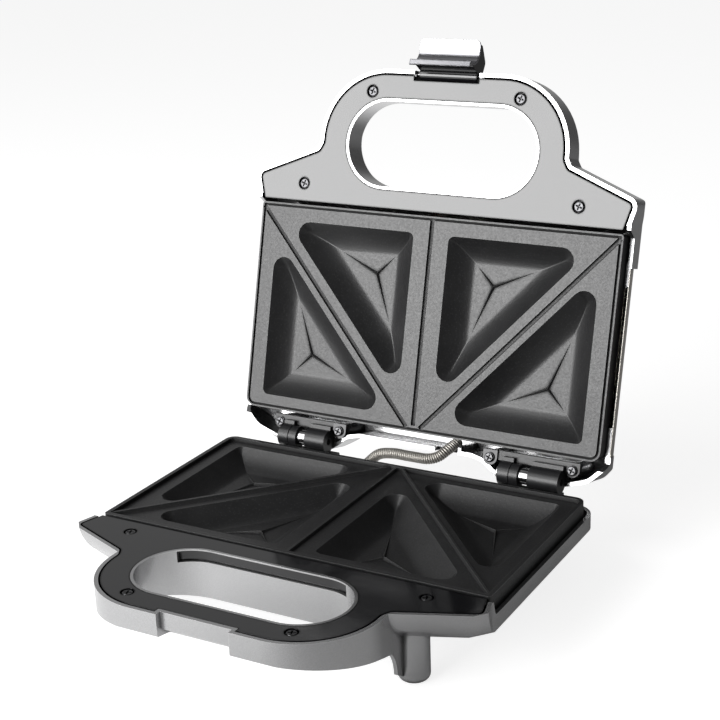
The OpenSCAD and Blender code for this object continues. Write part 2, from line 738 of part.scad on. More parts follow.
// Black wall that hangs from the lower cover behind the rear rim of the finger opening
module opening_lining() {
    intersection() {
        difference() {
            finger_opening(lip_w + 1.7, -lining_depth + lining_gap, -cover_drop);
            finger_opening(lip_w + 0.2, -reach / 2, 1);
        }
        box([lining_from + lining_gap, opening_centre + 16 + lining_gap, -lining_depth],
            [lining_to - lining_gap, lining_back, 0]);
    }
}

module base_handle_cover() {
    color("#151515") grounded() {
        handle_cover([recess_y + wall + 0.3, wall + 0.3]);
        opening_lining();
    }
}

module cover_screws() {
    at_places(cover_screw_places) translate([0, 0, -cover_drop - screw_sink])
        pan_screw(screw_head_r, 1.3, screw_r, 7);
}

module base_cover_screws() {
    color("gray") grounded() cover_screws();
}

module base_plate() {
    color("#2a2a2a") grounded() grill_plate(true);
}

// Heating parts behind a plate, drawn for the lower half

module element_path() {
    rear = element_rear;
    front = element_front;
    bend = element_bend;
    r = element_d / 2;
    half = element_half_w;
    on_both_sides() {
        translate([half, front + bend, 0]) rotate([90, 0, 180])
            cylinder(r = r, h = rear - front - 2 * bend);
        translate([half - bend, front + bend, 0]) rotate([0, 0, -90])
            rotate_extrude(angle = 90) translate([bend, 0]) circle(r = r);
        translate([half - bend, rear - bend, 0])
            rotate_extrude(angle = 90) translate([bend, 0]) circle(r = r);
        translate([half - bend, rear, 0]) rotate([0, -90, 0]) cylinder(r = r, h = half - bend - 14);
        translate([14, rear, 0]) rotate([0, -90, 0]) cylinder(r = r * 0.72, h = 4);
        translate([10, rear, 0]) rotate([0, -90, 0]) cylinder(r = 1.2, h = 7);
    }
    translate([-half + bend, front, 0]) rotate([0, 90, 0]) cylinder(r = r, h = 2 * (half - bend));
}

module element() {
    translate([0, 0, -element_centre]) element_path();
}

// Straps that hold the element against the plate
module element_clamps() {
    r = element_d / 2 + 0.05;
    for (x = [-clamp_x, clamp_x]) along_x(x - 4, x + 4) difference() {
        union() {
            translate([element_front, -element_centre]) circle(r = r + 0.8);
            translate([element_front - 8, -plate_back - 0.85]) square([16, 0.8]);
        }
        translate([element_front, -element_centre]) circle(r = r);
        translate([element_front - r, -element_centre]) square([2 * r, 9]);
        translate([element_front - 40, -plate_back - 0.05]) square([80, 9]);
    }
}

module reflector() {
    half = plate_w / 2 - 15;
    corners = both_sides([[half, plate_screw_places[1][1] - 5, 3], [half, plate_screw_places[0][1] + 5, 3]]);
    difference() {
        slab(corners, 0, -reflector_back, -plate_back - 0.15);
        slab(corners, -reflector_t, -reflector_face, 0);
        at_places(plate_screw_places) translate([0, 0, -reach / 2])
            cylinder(r = plate_screw_r + screw_clear, h = reach / 2);
        box([-14, -22, -reach], [14, -14, 0]);
    }
}

module plate_screws() {
    at_places(plate_screw_places) translate([0, 0, -screw_seat]) mirror([0, 0, 1])
        pan_screw(screw_head_r, 1.6, plate_screw_r, screw_seat - plate_back);
}

module base_element() {
    color("#4a3c34") grounded() element();
}

module base_element_clamps() {
    color("silver") grounded() element_clamps();
}

module base_reflector() {
    color("lightgray") grounded() reflector();
}

module base_plate_screws() {
    color("gray") grounded() plate_screws();
}

module thermostat() {
    color("wheat") grounded() translate([0, -thermostat_in, -plate_back - 0.05]) {
        translate([-14, -4, -1]) cube([28, 8, 1]);
        translate([0, 0, -4.8]) cylinder(r = 8, h = 4);
        for (side = [-1, 1]) translate([side * 4 - 1.5, -0.4, -6]) cube([3, 0.8, 1.4]);
    }
}

module thermal_fuse() {
    color("gainsboro") grounded() translate([0, -fuse_in, -plate_back - 2.05]) rotate([0, 90, 0]) {
        translate([0, 0, -fuse_half]) cylinder(r = 2, h = 2 * fuse_half);
        for (side = [-1, 1]) translate([0, 0, side * (fuse_half + 4) - 4]) cylinder(r = 0.6, h = 8);
    }
}

module terminal_block() {
    color("ivory") grounded() difference() {
        box([2, -6, -floor_face + 0.05], [24, 1.5, -floor_face + 8]);
        for (k = [0 : 2]) translate([6 + k * 7, -7, -floor_face + 4.4]) rotate([-90, 0, 0])
            cylinder(r = 1.6, h = 20);
    }
}

module cord_inlet_bush() {
    color("#202020") grounded() translate([bush_place[0], base_rear, bush_place[2]]) rotate([-90, 0, 0])
        rotate_extrude($fn = fine) polygon([[3.4, -wall - 2.5], [5, -wall - 2.5], [5, 0.05], [6.5, 0.05],
            [6.2, 1.4], [5.4, 1.8], [3.4, 1.8]]);
}

// Hinges

module hinge_barrel(x0, length, r) {
    translate([x0, hinge_y, 0]) rotate([0, 90, 0]) cylinder(r = r, h = length, $fn = fine);
}

module hinge_bore(x0, length, r) {
    translate([x0 - 1, hinge_y, 0]) rotate([0, 90, 0]) cylinder(r = r, h = length + 2);
}

function ring_x(x0) = x0 + barrel_len + hinge_side_gap;
function sleeve_x(x0) = ring_x(x0) + ring_len;
function block_x(x0) = sleeve_x(x0) + sleeve_len + hinge_side_gap;

// Lower hinge bracket: a ring on a post, above a pad that the open lid leans on
module base_hinge(x0) {
    pad_top = -7.6;
    x = ring_x(x0);
    difference() {
        union() {
            hinge_barrel(x, ring_len, ring_r);
            box([x, base_rear + 0.05, pad_top - 2], [x + ring_len, hinge_y + 2, 0]);
            along_x(x0 + 1, x0 + 34) outline([
                [base_rear + 0.05, pad_top - 9.5, 1], [base_rear + 4, pad_top - 9.5, 2],
                [hinge_y + 5.5, pad_top - 3, 1.5], [hinge_y + 5.5, pad_top, 0.8],
                [base_rear + 0.05, pad_top, 0.5]]);
        }
        hinge_bore(x, ring_len, pin_r + pin_clear);
        for (step = hinge_screw_steps)
            translate([x0 + step, base_rear - 1, hinge_screw_z]) rotate([-90, 0, 0]) {
                cylinder(r = screw_r + screw_clear, h = 20);
                translate([0, 0, 3.6]) cylinder(r = screw_head_r + 0.3, h = 20);
            }
    }
}

module base_hinge_left() {
    color("#1c1c1c") grounded() base_hinge(hinge_left_x);
}

module base_hinge_right() {
    color("#1c1c1c") grounded() base_hinge(hinge_right_x);
}

module base_hinge_screws() {
    color("gray") grounded() for (x0 = [hinge_left_x, hinge_right_x], step = hinge_screw_steps)
        translate([x0 + step, base_rear + 2.6, hinge_screw_z]) rotate([-90, 0, 0])
            pan_screw(screw_head_r - 0.3, 1.6, screw_r, 8);
}

module hinge_pin(x0, inner_len) {
    length = block_x(x0) + inner_len - x0 - 1;
    color("silver") grounded() {
        translate([x0 - 0.3, hinge_y, 0]) rotate([0, 90, 0]) cylinder(r = pin_r, h = length);
        translate([x0 - 1.5, hinge_y, 0]) rotate([0, 90, 0]) cylinder(r = pin_r + 1.6, h = 1.2);
    }
}

module hinge_pin_left() {
    hinge_pin(hinge_left_x, left_block_len);
}

module hinge_pin_right() {
    hinge_pin(hinge_right_x, block_len);
}

module hinge_sleeves() {
    color("gainsboro") grounded() for (x0 = [hinge_left_x, hinge_right_x]) difference() {
        hinge_barrel(sleeve_x(x0), sleeve_len, sleeve_r);
        hinge_bore(sleeve_x(x0), sleeve_len, pin_r + pin_clear);
    }
}

// Upper hinge bracket: two barrels under a foot that is screwed to the lid, first through a strap
module lid_hinge(x0, inner_len, screws) {
    foot_low = 3.5;
    foot_high = 6.5;
    x1 = block_x(x0);
    outer = min(screws) - 4;
    inner = max(screws) + 4;
    difference() {
        union() {
            hinge_barrel(x0, barrel_len, barrel_r);
            hinge_barrel(x1, inner_len, barrel_r);
            for (part = [[x0, barrel_len], [x1, inner_len]])
                box([part[0], 5, 0.5], [part[0] + part[1], hinge_y, foot_high]);
            box([outer, 2.6, foot_low], [inner, 7.8, foot_high]);
            for (x = screws) translate([x, lid_screw_y, foot_low])
                cylinder(r = lid_foot_r, h = foot_high - foot_low);
        }
        for (part = [[x0, barrel_len], [x1, inner_len]])
            hinge_bore(part[0], part[1], pin_r + pin_clear);
        for (x = screws) translate([x, lid_screw_y, -9]) cylinder(r = screw_r + screw_clear, h = 30);
        translate([screws[0], lid_screw_y, foot_low - 5]) cylinder(r = strap_r + 0.3, h = 5);
    }
}

module lid_hinge_left() {
    color("#1c1c1c") opened() lid_hinge(hinge_left_x, left_block_len, lid_foot_screws_left);
}

module lid_hinge_right() {
    color("#1c1c1c") opened() lid_hinge(hinge_right_x, block_len, lid_foot_screws_right);
}

// Bright steel plates under the inner screws of the lid's brackets
module lid_hinge_straps() {
    color("gainsboro") opened() on_both_sides() difference() {
        translate([lid_foot_screws_right[0], lid_screw_y, 2.25]) linear_extrude(1.2) {
            circle(r = strap_r);
            translate([-strap_r, -strap_r]) square([2 * strap_r, strap_r]);
        }
        translate([lid_foot_screws_right[0], lid_screw_y, 0]) cylinder(r = screw_r + screw_clear, h = 9);
    }
}

module lid_hinge_screws() {
    color("silver") opened() for (x = concat(lid_foot_screws_left, lid_foot_screws_right))
        translate([x, lid_screw_y, abs(x) == strap_x ? 2.2 : 3.45]) mirror([0, 0, 1])
            pan_screw(screw_head_r - 0.2, 1.7, screw_r, 9);
}

// Lid

module lid_front_form(by, rear) {
    housing_form(by, lid_front_corners(rear), lid_front_side(rear), lid_section);
}

// Everything below the rim of the lid's front housing
module below_lid_rim() {
    along_x(-reach / 2, reach / 2) polygon([
        [front_y - 9, cover_drop], [front_y - 9, -20], [base_rear + 9, -20], [base_rear + 9, side_drop],
        [cover_y + 3.2, side_drop], [cover_y - 0.8, cover_drop]
    ]);
}

module lid_front_inner_walls() {
    finger_opening(lip_w, 0, reach / 2);
    box([-notch_half_w - wall, front_y - 9, cover_drop + cover_t + cut],
        [notch_half_w + wall, notch_y + wall, reach]);
    at_places(cover_screw_places) translate([0, 0, cover_drop + cover_t])
        cylinder(r = cover_post_r, h = reach);
    for (x = lamp_places) translate([x, lamp_y, lid_top - 4]) cylinder(r = 6, h = 9);
    on_both_sides() box([lamp_x + 9, lamp_y - 5, lid_top - 9], [lamp_x + 14, lamp_y + 5, reach]);
}

// Ledge under the steel sheet's edge that also carries the plate screws
module lid_ledge(from, to, post_y) {
    intersection() {
        difference() {
            swept_along(steel_section, -steel_t - 0.1);
            swept_along(steel_section, -steel_t - 0.1 - wall);
        }
        box([-reach, from, side_drop], [reach, to, reach]);
    }
    at_places([[plate_screw_places[0][0], post_y]]) translate([0, 0, lid_post_z])
        cylinder(r = plate_post_r, h = lid_frame_z - lid_post_z);
}

module lid_post_bores(post_y) {
    at_places([[plate_screw_places[0][0], post_y]]) {
        cylinder(r = plate_screw_r + screw_clear, h = reach);
        translate([0, 0, lid_screw_seat]) cylinder(r = screw_head_r + head_clear, h = reach);
    }
}

module lid_front_housing() {
    post_y = plate_screw_places[1][1];
    color("silver") opened() difference() {
        union() {
            difference() {
                lid_front_form(0, -steel_front);
                difference() {
                    lid_front_form(-wall, -steel_front + 20);
                    lid_front_inner_walls();
                }
                below_lid_rim();
            }
            lid_ledge(-steel_front - 3.5, post_y + 6, post_y);
        }
        finger_opening(0, -9, reach / 2);
        box([-notch_half_w, front_y - 9, -9], [notch_half_w, notch_y, reach]);
        at_places(cover_screw_places) cylinder(r = screw_r + pin_clear, h = 9.5);
        for (x = lamp_places) translate([x, lamp_y, 0]) cylinder(r = lens_r + screw_clear, h = reach);
        translate([-notch_half_w - wall + 0.5, latch_y, latch_pin_z]) rotate([0, 90, 0])
            cylinder(r = latch_pin_r + pin_clear, h = 2 * (notch_half_w + wall - 0.5));
        lid_post_bores(post_y);
    }
}

module lid_steel_cover() {
    color("gainsboro") opened() intersection() {
        difference() {
            swept_along(steel_section);
            swept_along(steel_section, -steel_t);
        }
        box([-reach, -steel_front + 0.2, side_drop], [reach, -steel_rear - 0.2, reach]);
    }
}

module lid_rear_form(by, front) {
    intersection() {
        slab(lid_rear_corners(front), by, -5, reach);
        swept_across(lid_rear_side(front), by);
        swept_along(lid_rear_section, by);
    }
}

module lid_rear_housing() {
    post_y = plate_screw_places[0][1];
    color("silver") opened() difference() {
        union() {
            difference() {
                lid_rear_form(0, -steel_rear);
                difference() {
                    lid_rear_form(-wall, -steel_rear - 20);
                    for (x = concat(lid_foot_screws_left, lid_foot_screws_right))
                        translate([x, lid_screw_y, 6.6]) cylinder(r = lid_foot_r, h = reach);
                    box([27, 4, 4], [28.6, 10, reach]);
                }
                along_x(-reach / 2, reach / 2)
                    polygon([[-9, -9], [30, -9], [30, 4], [5, 4], [1, side_drop], [-9, side_drop]]);
            }
            lid_ledge(post_y - 6, -steel_rear + 3, post_y);
        }
        lid_post_bores(post_y);
        for (x = concat(lid_foot_screws_left, lid_foot_screws_right))
            translate([x, lid_screw_y, 0]) cylinder(r = screw_r + pin_clear, h = 14);
        for (x0 = [hinge_left_x, hinge_right_x]) hinge_barrel(x0 - 1, 37.5, barrel_r + 0.6);
        box([13, 5, 0], [27, 12, 9.5]);
    }
}

module lid_handle_cover() {
    color("#101010") opened() mirror([0, 0, 1]) handle_cover([notch_y, 0]);
}

module lid_cover_screws() {
    color("gray") opened() mirror([0, 0, 1]) cover_screws();
}

module lid_plate() {
    color("#303030") opened() mirror([0, 0, 1]) grill_plate(false);
}

module lid_element() {
    color("#4a3c34") behind_upper_plate() element();
}

module lid_element_clamps() {
    color("silver") behind_upper_plate() element_clamps();
}

module lid_reflector() {
    color("lightgray") behind_upper_plate() reflector();
}

module lid_plate_screws() {
    color("gray") behind_upper_plate() plate_screws();
}

// Round lens with a flange inside and a low dome outside
module lamp_lens(x) {
    opened() translate([x, lamp_y, lid_top]) rotate_extrude() polygon(concat(
        [[0, -wall - 3], [lens_r + 1.1, -wall - 3], [lens_r + 1.1, -wall - 2.05], [lens_r, -wall - 2.05],
            [lens_r, 0.3]],
        [for (a = [15 : 15 : 90]) [lens_r * cos(a), 0.3 + 0.9 * sin(a)]]));
}

module power_lamp_lens() {
    color("firebrick") lamp_lens(lamp_places[0]);
}

module ready_lamp_lens() {
    color("forestgreen") lamp_lens(lamp_places[1]);
}

module lamp_holder() {
    color("ivory") opened() difference() {
        union() {
            box([-lamp_x - 14, lamp_y - 4, lid_top - 11.05], [lamp_x + 14, lamp_y + 4, lid_top - 9.05]);
            for (x = lamp_places) translate([x, lamp_y, lid_top - 10]) cylinder(r = lens_r + 0.9, h = 4.8);
        }
        for (x = lamp_places) translate([x, lamp_y, lid_top - 9]) cylinder(r = lens_r - 0.3, h = 9);
    }
}

// Latch

module latch_pin() {
    span = 2 * (notch_half_w + wall - 0.8);
    color("silver") opened() translate([-span / 2, latch_y, latch_pin_z]) rotate([0, 90, 0])
        cylinder(r = latch_pin_r, h = span);
}

hook_drop = hook_tab_z - hook_lip_z;
hook_r = (pow(hook_lip_y - hook_bend_y, 2) + pow(hook_drop, 2)) / (2 * hook_drop);
hook_middle = [hook_bend_y, hook_tab_z - hook_r];

module latch_arm() {
    color("#141414") opened() difference() {
        along_x(-latch_half_w, latch_half_w) difference() {
            union() {
                translate([latch_y, latch_pin_z]) circle(r = latch_barrel_r);
                outline([[latch_y, latch_pin_z + latch_barrel_r, 0], [latch_y - 8.3, 11.5, 3],
                    [latch_y - 17, hook_tab_z + 4, 2], [latch_y - 17, hook_tab_z + hook_t / 2 + 0.05, 0],
                    [hook_bend_y, hook_tab_z + hook_t / 2 + 0.05, 0], [hook_bend_y, -4, 0],
                    [hook_bend_y + hook_r + 1.2, -4, 1],
                    [latch_y - 2, latch_pin_z - latch_barrel_r + 0.6, 0]]);
            }
            translate(hook_middle) circle(r = hook_r + hook_t / 2 + 0.05, $fn = fine);
            translate([latch_y, latch_pin_z]) circle(r = latch_pin_r + pin_clear);
        }
        for (x = latch_screw_places) translate([x, latch_screw_y, 0]) {
            cylinder(r = 1.2 + screw_clear, h = 20);
            translate([0, 0, 7]) cylinder(r = 2.2 + head_clear, h = 20);
        }
    }
}

// Bent steel plate: a finger tab, a concave face and a lip that hooks under the lower grip
module latch_hook() {
    lip_turn = acos((hook_lip_y - hook_bend_y) / hook_r);
    lip = [hook_lip_y, hook_lip_z];
    color("gainsboro") opened() difference() {
        union() {
            along_x(-hook_half_w, hook_half_w) {
                difference() {
                    translate(hook_middle) circle(r = hook_r + hook_t / 2, $fn = fine);
                    translate(hook_middle) circle(r = hook_r - hook_t / 2, $fn = fine);
                    translate(hook_middle) polygon([[0, 0], [0, 30], [-40, 30], [-40, -40],
                        30 * [cos(lip_turn), -sin(lip_turn)]]);
                }
                translate(lip) rotate(-20) translate([-hook_t / 2, -hook_t / 2]) square([3, hook_t]);
            }
            translate([0, 0, hook_tab_z - hook_t / 2]) linear_extrude(hook_t) outline([
                [-hook_half_w, hook_tab_y, 3], [hook_half_w, hook_tab_y, 3],
                [hook_half_w, hook_bend_y + cut, 0], [-hook_half_w, hook_bend_y + cut, 0]]);
        }
        for (x = latch_screw_places) translate([x, latch_screw_y, hook_tab_z - 0.1]) cylinder(r = 0.9, h = 2);
    }
}

module latch_screws() {
    color("gray") opened() for (x = latch_screw_places) translate([x, latch_screw_y, 0]) {
        translate([0, 0, 7]) pan_screw(2.2, 1.2, 1.2, 7 - hook_tab_z - hook_t / 2 - 0.05);
        translate([0, 0, hook_tab_z]) cylinder(r = 0.85, h = 1);
    }
}

// Conduit between the halves

conduit_base_points = [
    [-33.5, 0.5, -15.2], [-33, 6, -15], [-31, 11, -13], [-26, 13.2, -8], [-19, 13.5, -2]
];
conduit_axis_points = [[-10, 13.5, 0], [-3, 13.5, 0], [4, 13.5, 0]];
conduit_lid_points = [
    [11, 13.3, 0.2], [16.5, 11.4, 1.6], [20.5, 7.4, 4], [22.8, 4.2, 8.5], [23.2, 3.4, 12]
];

function turned_open(p) =
    [p[0], hinge_y + (p[1] - hinge_y) * cos(lid_open) + p[2] * sin(lid_open),
        -(p[1] - hinge_y) * sin(lid_open) + p[2] * cos(lid_open)];
conduit_points = concat(
    conduit_base_points, conduit_axis_points, [for (p = conduit_lid_points) turned_open(p)]
);

// Smooth curve through the points, a few steps to each span
function curve_spot(p, i, t) =
    let (n = len(p), a = p[max(i - 1, 0)], b = p[i], c = p[min(i + 1, n - 1)], d = p[min(i + 2, n - 1)])
    0.5 * (2 * b + (c - a) * t + (2 * a - 5 * b + 4 * c - d) * t * t + (3 * b - a - 3 * c + d) * t * t * t);
function curve(p, steps) =
    concat([for (i = [0 : len(p) - 2], k = [0 : steps - 1]) curve_spot(p, i, k / steps)], [p[len(p) - 1]]);

module tube(path, r, sides) {
    last = len(path) - 1;
    rings = [for (i = [0 : last])
        let (way = unit(path[min(i + 1, last)] - path[max(i - 1, 0)]))
        let (a = unit(cross(way, [0.1, 0.3, -1])), b = cross(way, a))
        [for (k = [0 : sides - 1]) path[i] + r * (cos(360 * k / sides) * a + sin(360 * k / sides) * b)]];
    loft(rings);
}

module wire_conduit() {
    color("#b8b4ac") grounded() tube(curve(conduit_points, 4), conduit_d / 2, 12);
}

base_housing();
base_handle_cover();
base_cover_screws();
base_plate();
base_element();
base_element_clamps();
base_reflector();
base_plate_screws();
rubber_soles();
base_hinge_left();
base_hinge_right();
base_hinge_screws();
hinge_pin_left();
hinge_pin_right();
hinge_sleeves();
thermostat();
thermal_fuse();
terminal_block();
cord_inlet_bush();
lid_front_housing();
lid_steel_cover();
lid_rear_housing();
lid_handle_cover();
lid_cover_screws();
lid_plate();
lid_element();
lid_element_clamps();
lid_reflector();
lid_plate_screws();
lid_hinge_left();
lid_hinge_right();
lid_hinge_straps();
lid_hinge_screws();
power_lamp_lens();
ready_lamp_lens();
lamp_holder();
latch_pin();
latch_arm();
latch_hook();
latch_screws();
wire_conduit();
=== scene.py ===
import json
import math

import bmesh
import bpy
from mathutils import Matrix, Vector


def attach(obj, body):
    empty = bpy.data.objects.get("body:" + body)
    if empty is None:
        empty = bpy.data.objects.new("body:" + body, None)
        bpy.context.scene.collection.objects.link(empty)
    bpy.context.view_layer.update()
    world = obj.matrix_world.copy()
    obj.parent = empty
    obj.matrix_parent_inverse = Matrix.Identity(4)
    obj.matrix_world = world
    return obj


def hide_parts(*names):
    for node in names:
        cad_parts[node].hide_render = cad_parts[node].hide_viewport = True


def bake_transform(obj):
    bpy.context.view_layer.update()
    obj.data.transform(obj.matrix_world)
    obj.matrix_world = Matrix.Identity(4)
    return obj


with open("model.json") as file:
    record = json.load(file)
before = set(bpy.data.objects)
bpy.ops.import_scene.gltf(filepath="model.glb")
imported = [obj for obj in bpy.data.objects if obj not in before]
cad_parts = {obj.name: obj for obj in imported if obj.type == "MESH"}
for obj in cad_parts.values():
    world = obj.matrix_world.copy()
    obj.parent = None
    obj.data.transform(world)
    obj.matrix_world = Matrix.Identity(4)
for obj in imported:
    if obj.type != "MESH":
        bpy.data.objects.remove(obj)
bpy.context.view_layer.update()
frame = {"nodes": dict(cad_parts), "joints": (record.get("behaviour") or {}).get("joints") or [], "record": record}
MM = 0.001

# Camera, solved from the photograph: where it stands and which way it looks
PICTURE = 720
CAMERA_PLACE = Vector((0.36931, -0.63013, 0.36937))
CAMERA_AZIMUTH = math.radians(29.60)
CAMERA_ELEVATION = math.radians(18.77)
CAMERA_ROLL = math.radians(-2.07)
FOCAL_PIXELS = 1548.3
SENSOR = 36.0
CLIP_START, CLIP_END = 0.01, 20


def make_camera():
    data = bpy.data.cameras.new("camera")
    data.sensor_width = SENSOR
    data.lens = FOCAL_PIXELS * SENSOR / PICTURE
    data.clip_start, data.clip_end = CLIP_START, CLIP_END
    camera = bpy.data.objects.new("camera", data)
    bpy.context.scene.collection.objects.link(camera)
    sin_a, cos_a = math.sin(CAMERA_AZIMUTH), math.cos(CAMERA_AZIMUTH)
    sin_e, cos_e = math.sin(CAMERA_ELEVATION), math.cos(CAMERA_ELEVATION)
    ahead = Vector((-sin_a * cos_e, cos_a * cos_e, -sin_e))
    level = Vector((cos_a, sin_a, 0))
    upright = level.cross(ahead)
    right = math.cos(CAMERA_ROLL) * level + math.sin(CAMERA_ROLL) * upright
    up = right.cross(ahead)
    turn = Matrix((right, up, -ahead)).transposed()
    camera.matrix_world = Matrix.Translation(CAMERA_PLACE) @ turn.to_4x4()
    bpy.context.scene.camera = camera


# Materials

NODE_SAMPLES = 4
# Near-black painted into grooves, recesses and along edges as painted shade
PAINTED_SHADE_BLACK = (0.002, 0.002, 0.002)

# Noise runs mostly between these two values
LOW, HIGH = 0.3, 0.7

# Openness at which a wide gap between pieces counts as closed and as clear, and how far it is felt. The silver
# paint is darkened there as painted shade
GAP_REACH = 8 * MM
GAP_CLOSED, GAP_CLEAR = 0.4, 0.75

# An edge counts as an outer one where it is this open, and as sharp by how far its normal turns
EDGE_REACH = 2 * MM
EDGE_CLOSED, EDGE_CLEAR = 0.75, 0.95
EDGE_SHARP, EDGE_FLAT = 0.8, 0.98


class Finish:
    """One material: a principled shader and the textures that vary it."""

    def __init__(self, name, colour, rough, metal=0.0, **uniform):
        self.material = bpy.data.materials.new(name)
        self.material.use_nodes = True
        self.tree = self.material.node_tree
        self.shader = self.tree.nodes["Principled BSDF"]
        self.shader.inputs["Base Color"].default_value = (*colour, 1)
        self.shader.inputs["Roughness"].default_value = rough
        self.shader.inputs["Metallic"].default_value = metal
        for socket, value in uniform.items():
            self.shader.inputs[socket.replace("_", " ")].default_value = value
        self.places = self.node("ShaderNodeTexCoord").outputs["Object"]
        self.last_normal = None

    def node(self, kind, **options):
        made = self.tree.nodes.new(kind)
        for option, value in options.items():
            setattr(made, option, value)
        return made

    def put(self, value, socket):
        if isinstance(value, bpy.types.NodeSocket):
            self.tree.links.new(value, socket)
        else:
            socket.default_value = value

    def stretched(self, stretch):
        mapping = self.node("ShaderNodeMapping")
        self.put(self.places, mapping.inputs["Vector"])
        mapping.inputs["Scale"].default_value = stretch
        return mapping.outputs["Vector"]

    def noise(self, size, detail=2.0, stretch=None):
        """Soft noise whose features are about size metres wide."""
        made = self.node("ShaderNodeTexNoise")
        self.put(self.stretched(stretch) if stretch else self.places, made.inputs["Vector"])
        made.inputs["Scale"].default_value = 1 / size
        made.inputs["Detail"].default_value = detail
        return made.outputs["Fac"]

    def cells(self, size):
        """Distance to the nearest of scattered points that are about size metres apart."""
        made = self.node("ShaderNodeTexVoronoi")
        self.put(self.places, made.inputs["Vector"])
        made.inputs["Scale"].default_value = 1 / size
        return made.outputs["Distance"]

    def span(self, value, low, high, out_low, out_high):
        made = self.node("ShaderNodeMapRange")
        self.put(value, made.inputs["Value"])
        numbers = {"From Min": low, "From Max": high, "To Min": out_low, "To Max": out_high}
        for socket, number in numbers.items():
            made.inputs[socket].default_value = number
        return made.outputs["Result"]

    def times(self, a, b):
        made = self.node("ShaderNodeMath", operation="MULTIPLY")
        self.put(a, made.inputs[0])
        self.put(b, made.inputs[1])
        return made.outputs["Value"]

    def mixed(self, share, a, b):
        made = self.node("ShaderNodeMix", data_type="RGBA")
        self.put(share, made.inputs["Factor"])
        for index, colour in ((6, a), (7, b)):
            linked = isinstance(colour, bpy.types.NodeSocket)
            self.put(colour if linked else (*colour, 1), made.inputs[index])
        return made.outputs[2]

    def colour(self, socket):
        self.put(socket, self.shader.inputs["Base Color"])

    def rough(self, socket):
        self.put(socket, self.shader.inputs["Roughness"])

    def bump(self, height, depth, strength=1.0):
        made = self.node("ShaderNodeBump")
        made.inputs["Strength"].default_value = strength
        made.inputs["Distance"].default_value = depth
        self.put(height, made.inputs["Height"])
        if self.last_normal:
            self.put(self.last_normal, made.inputs["Normal"])
        self.last_normal = made.outputs["Normal"]
        self.put(self.last_normal, self.shader.inputs["Normal"])

    def openness(self, reach):
        """1 on open faces, less where something stands within reach metres in front of them."""
        made = self.node("ShaderNodeAmbientOcclusion", samples=NODE_SAMPLES)
        made.inputs["Distance"].default_value = reach
        return made.outputs["AO"]

    def hollows(self, reach, closed, clear):
        """1 in gaps and grooves narrower than about twice reach metres, 0 on open faces."""
        return self.span(self.openness(reach), closed, clear, 1.0, 0.0)

    def edge_band(self, width, amount):
        """Up to amount in a band about width metres wide along sharp edges, 0 on flat faces."""
        soft = self.node("ShaderNodeBevel", samples=NODE_SAMPLES)
        soft.inputs["Radius"].default_value = width
        across = self.node("ShaderNodeVectorMath", operation="DOT_PRODUCT")
        self.put(soft.outputs["Normal"], across.inputs[0])
        self.put(self.node("ShaderNodeNewGeometry").outputs["Normal"], across.inputs[1])
        return self.span(across.outputs["Value"], EDGE_SHARP, EDGE_FLAT, amount, 0.0)

    def edge_highlight_or_shade(self, colour, painted_edge_colour, amount=0.5, width=0.5 * MM):
        """Blends towards another colour along the sharp outer edges: a painted highlight where that colour is
        lighter, painted shade where it is darker.
        """
        bend = self.edge_band(width, amount)
        outer = self.span(self.openness(EDGE_REACH), EDGE_CLOSED, EDGE_CLEAR, 0.0, 1.0)
        return self.mixed(self.times(bend, outer), colour, painted_edge_colour)

    def varied(self, value, out_low, out_high):
        """A noise value spread over the range from out_low to out_high."""
        return self.span(value, LOW, HIGH, out_low, out_high)


def silver_paint():
    f = Finish("silver_paint", (0.5, 0.5, 0.505), 0.3, 1.0)
    flake = f.span(f.cells(0.5 * MM), 0.1, 0.6, 0.0, 1.0)
    cloud = f.noise(9 * MM, 3)
    shade = f.mixed(flake, (0.55, 0.55, 0.555), (0.48, 0.48, 0.485))
    # Painted shade: the paint turns dark grey in gaps between pieces
    gap = f.hollows(GAP_REACH, GAP_CLOSED, GAP_CLEAR)
    # Painted highlight: the paint turns lighter along its sharp edges
    f.colour(f.mixed(gap, f.edge_highlight_or_shade(shade, (0.85, 0.85, 0.85), 0.6), (0.12, 0.12, 0.12)))
    f.rough(f.mixed(gap, f.varied(cloud, 0.23, 0.26), (0.7, 0.7, 0.7)))
    f.bump(f.noise(0.6 * MM, 2), 0.01 * MM, 0.1)
    return f.material


def black_gloss():
    f = Finish("black_gloss", (0.006, 0.006, 0.007), 0.09, Specular_IOR_Level=0.75)
    smear = f.noise(14 * MM, 4, (1, 2.2, 1))
    speck = f.span(f.cells(1.1 * MM), 0.05, 0.09, 1.0, 0.0)
    # Painted shade: a band along the sharp edges is made black and metallic so that it reflects nothing, a dark
    # outline
    painted_shade_rim = f.edge_band(1.7 * MM, 1.0)
    dusty = f.mixed(f.times(speck, 0.25), (0.006, 0.006, 0.007), (0.09, 0.09, 0.09))
    f.colour(f.mixed(painted_shade_rim, dusty, (0.001, 0.001, 0.001)))
    f.put(painted_shade_rim, f.shader.inputs["Metallic"])
    f.rough(f.span(smear, 0.35, 0.7, 0.07, 0.13))
    f.bump(f.noise(5 * MM, 2), 0.02 * MM, 0.4)
    return f.material


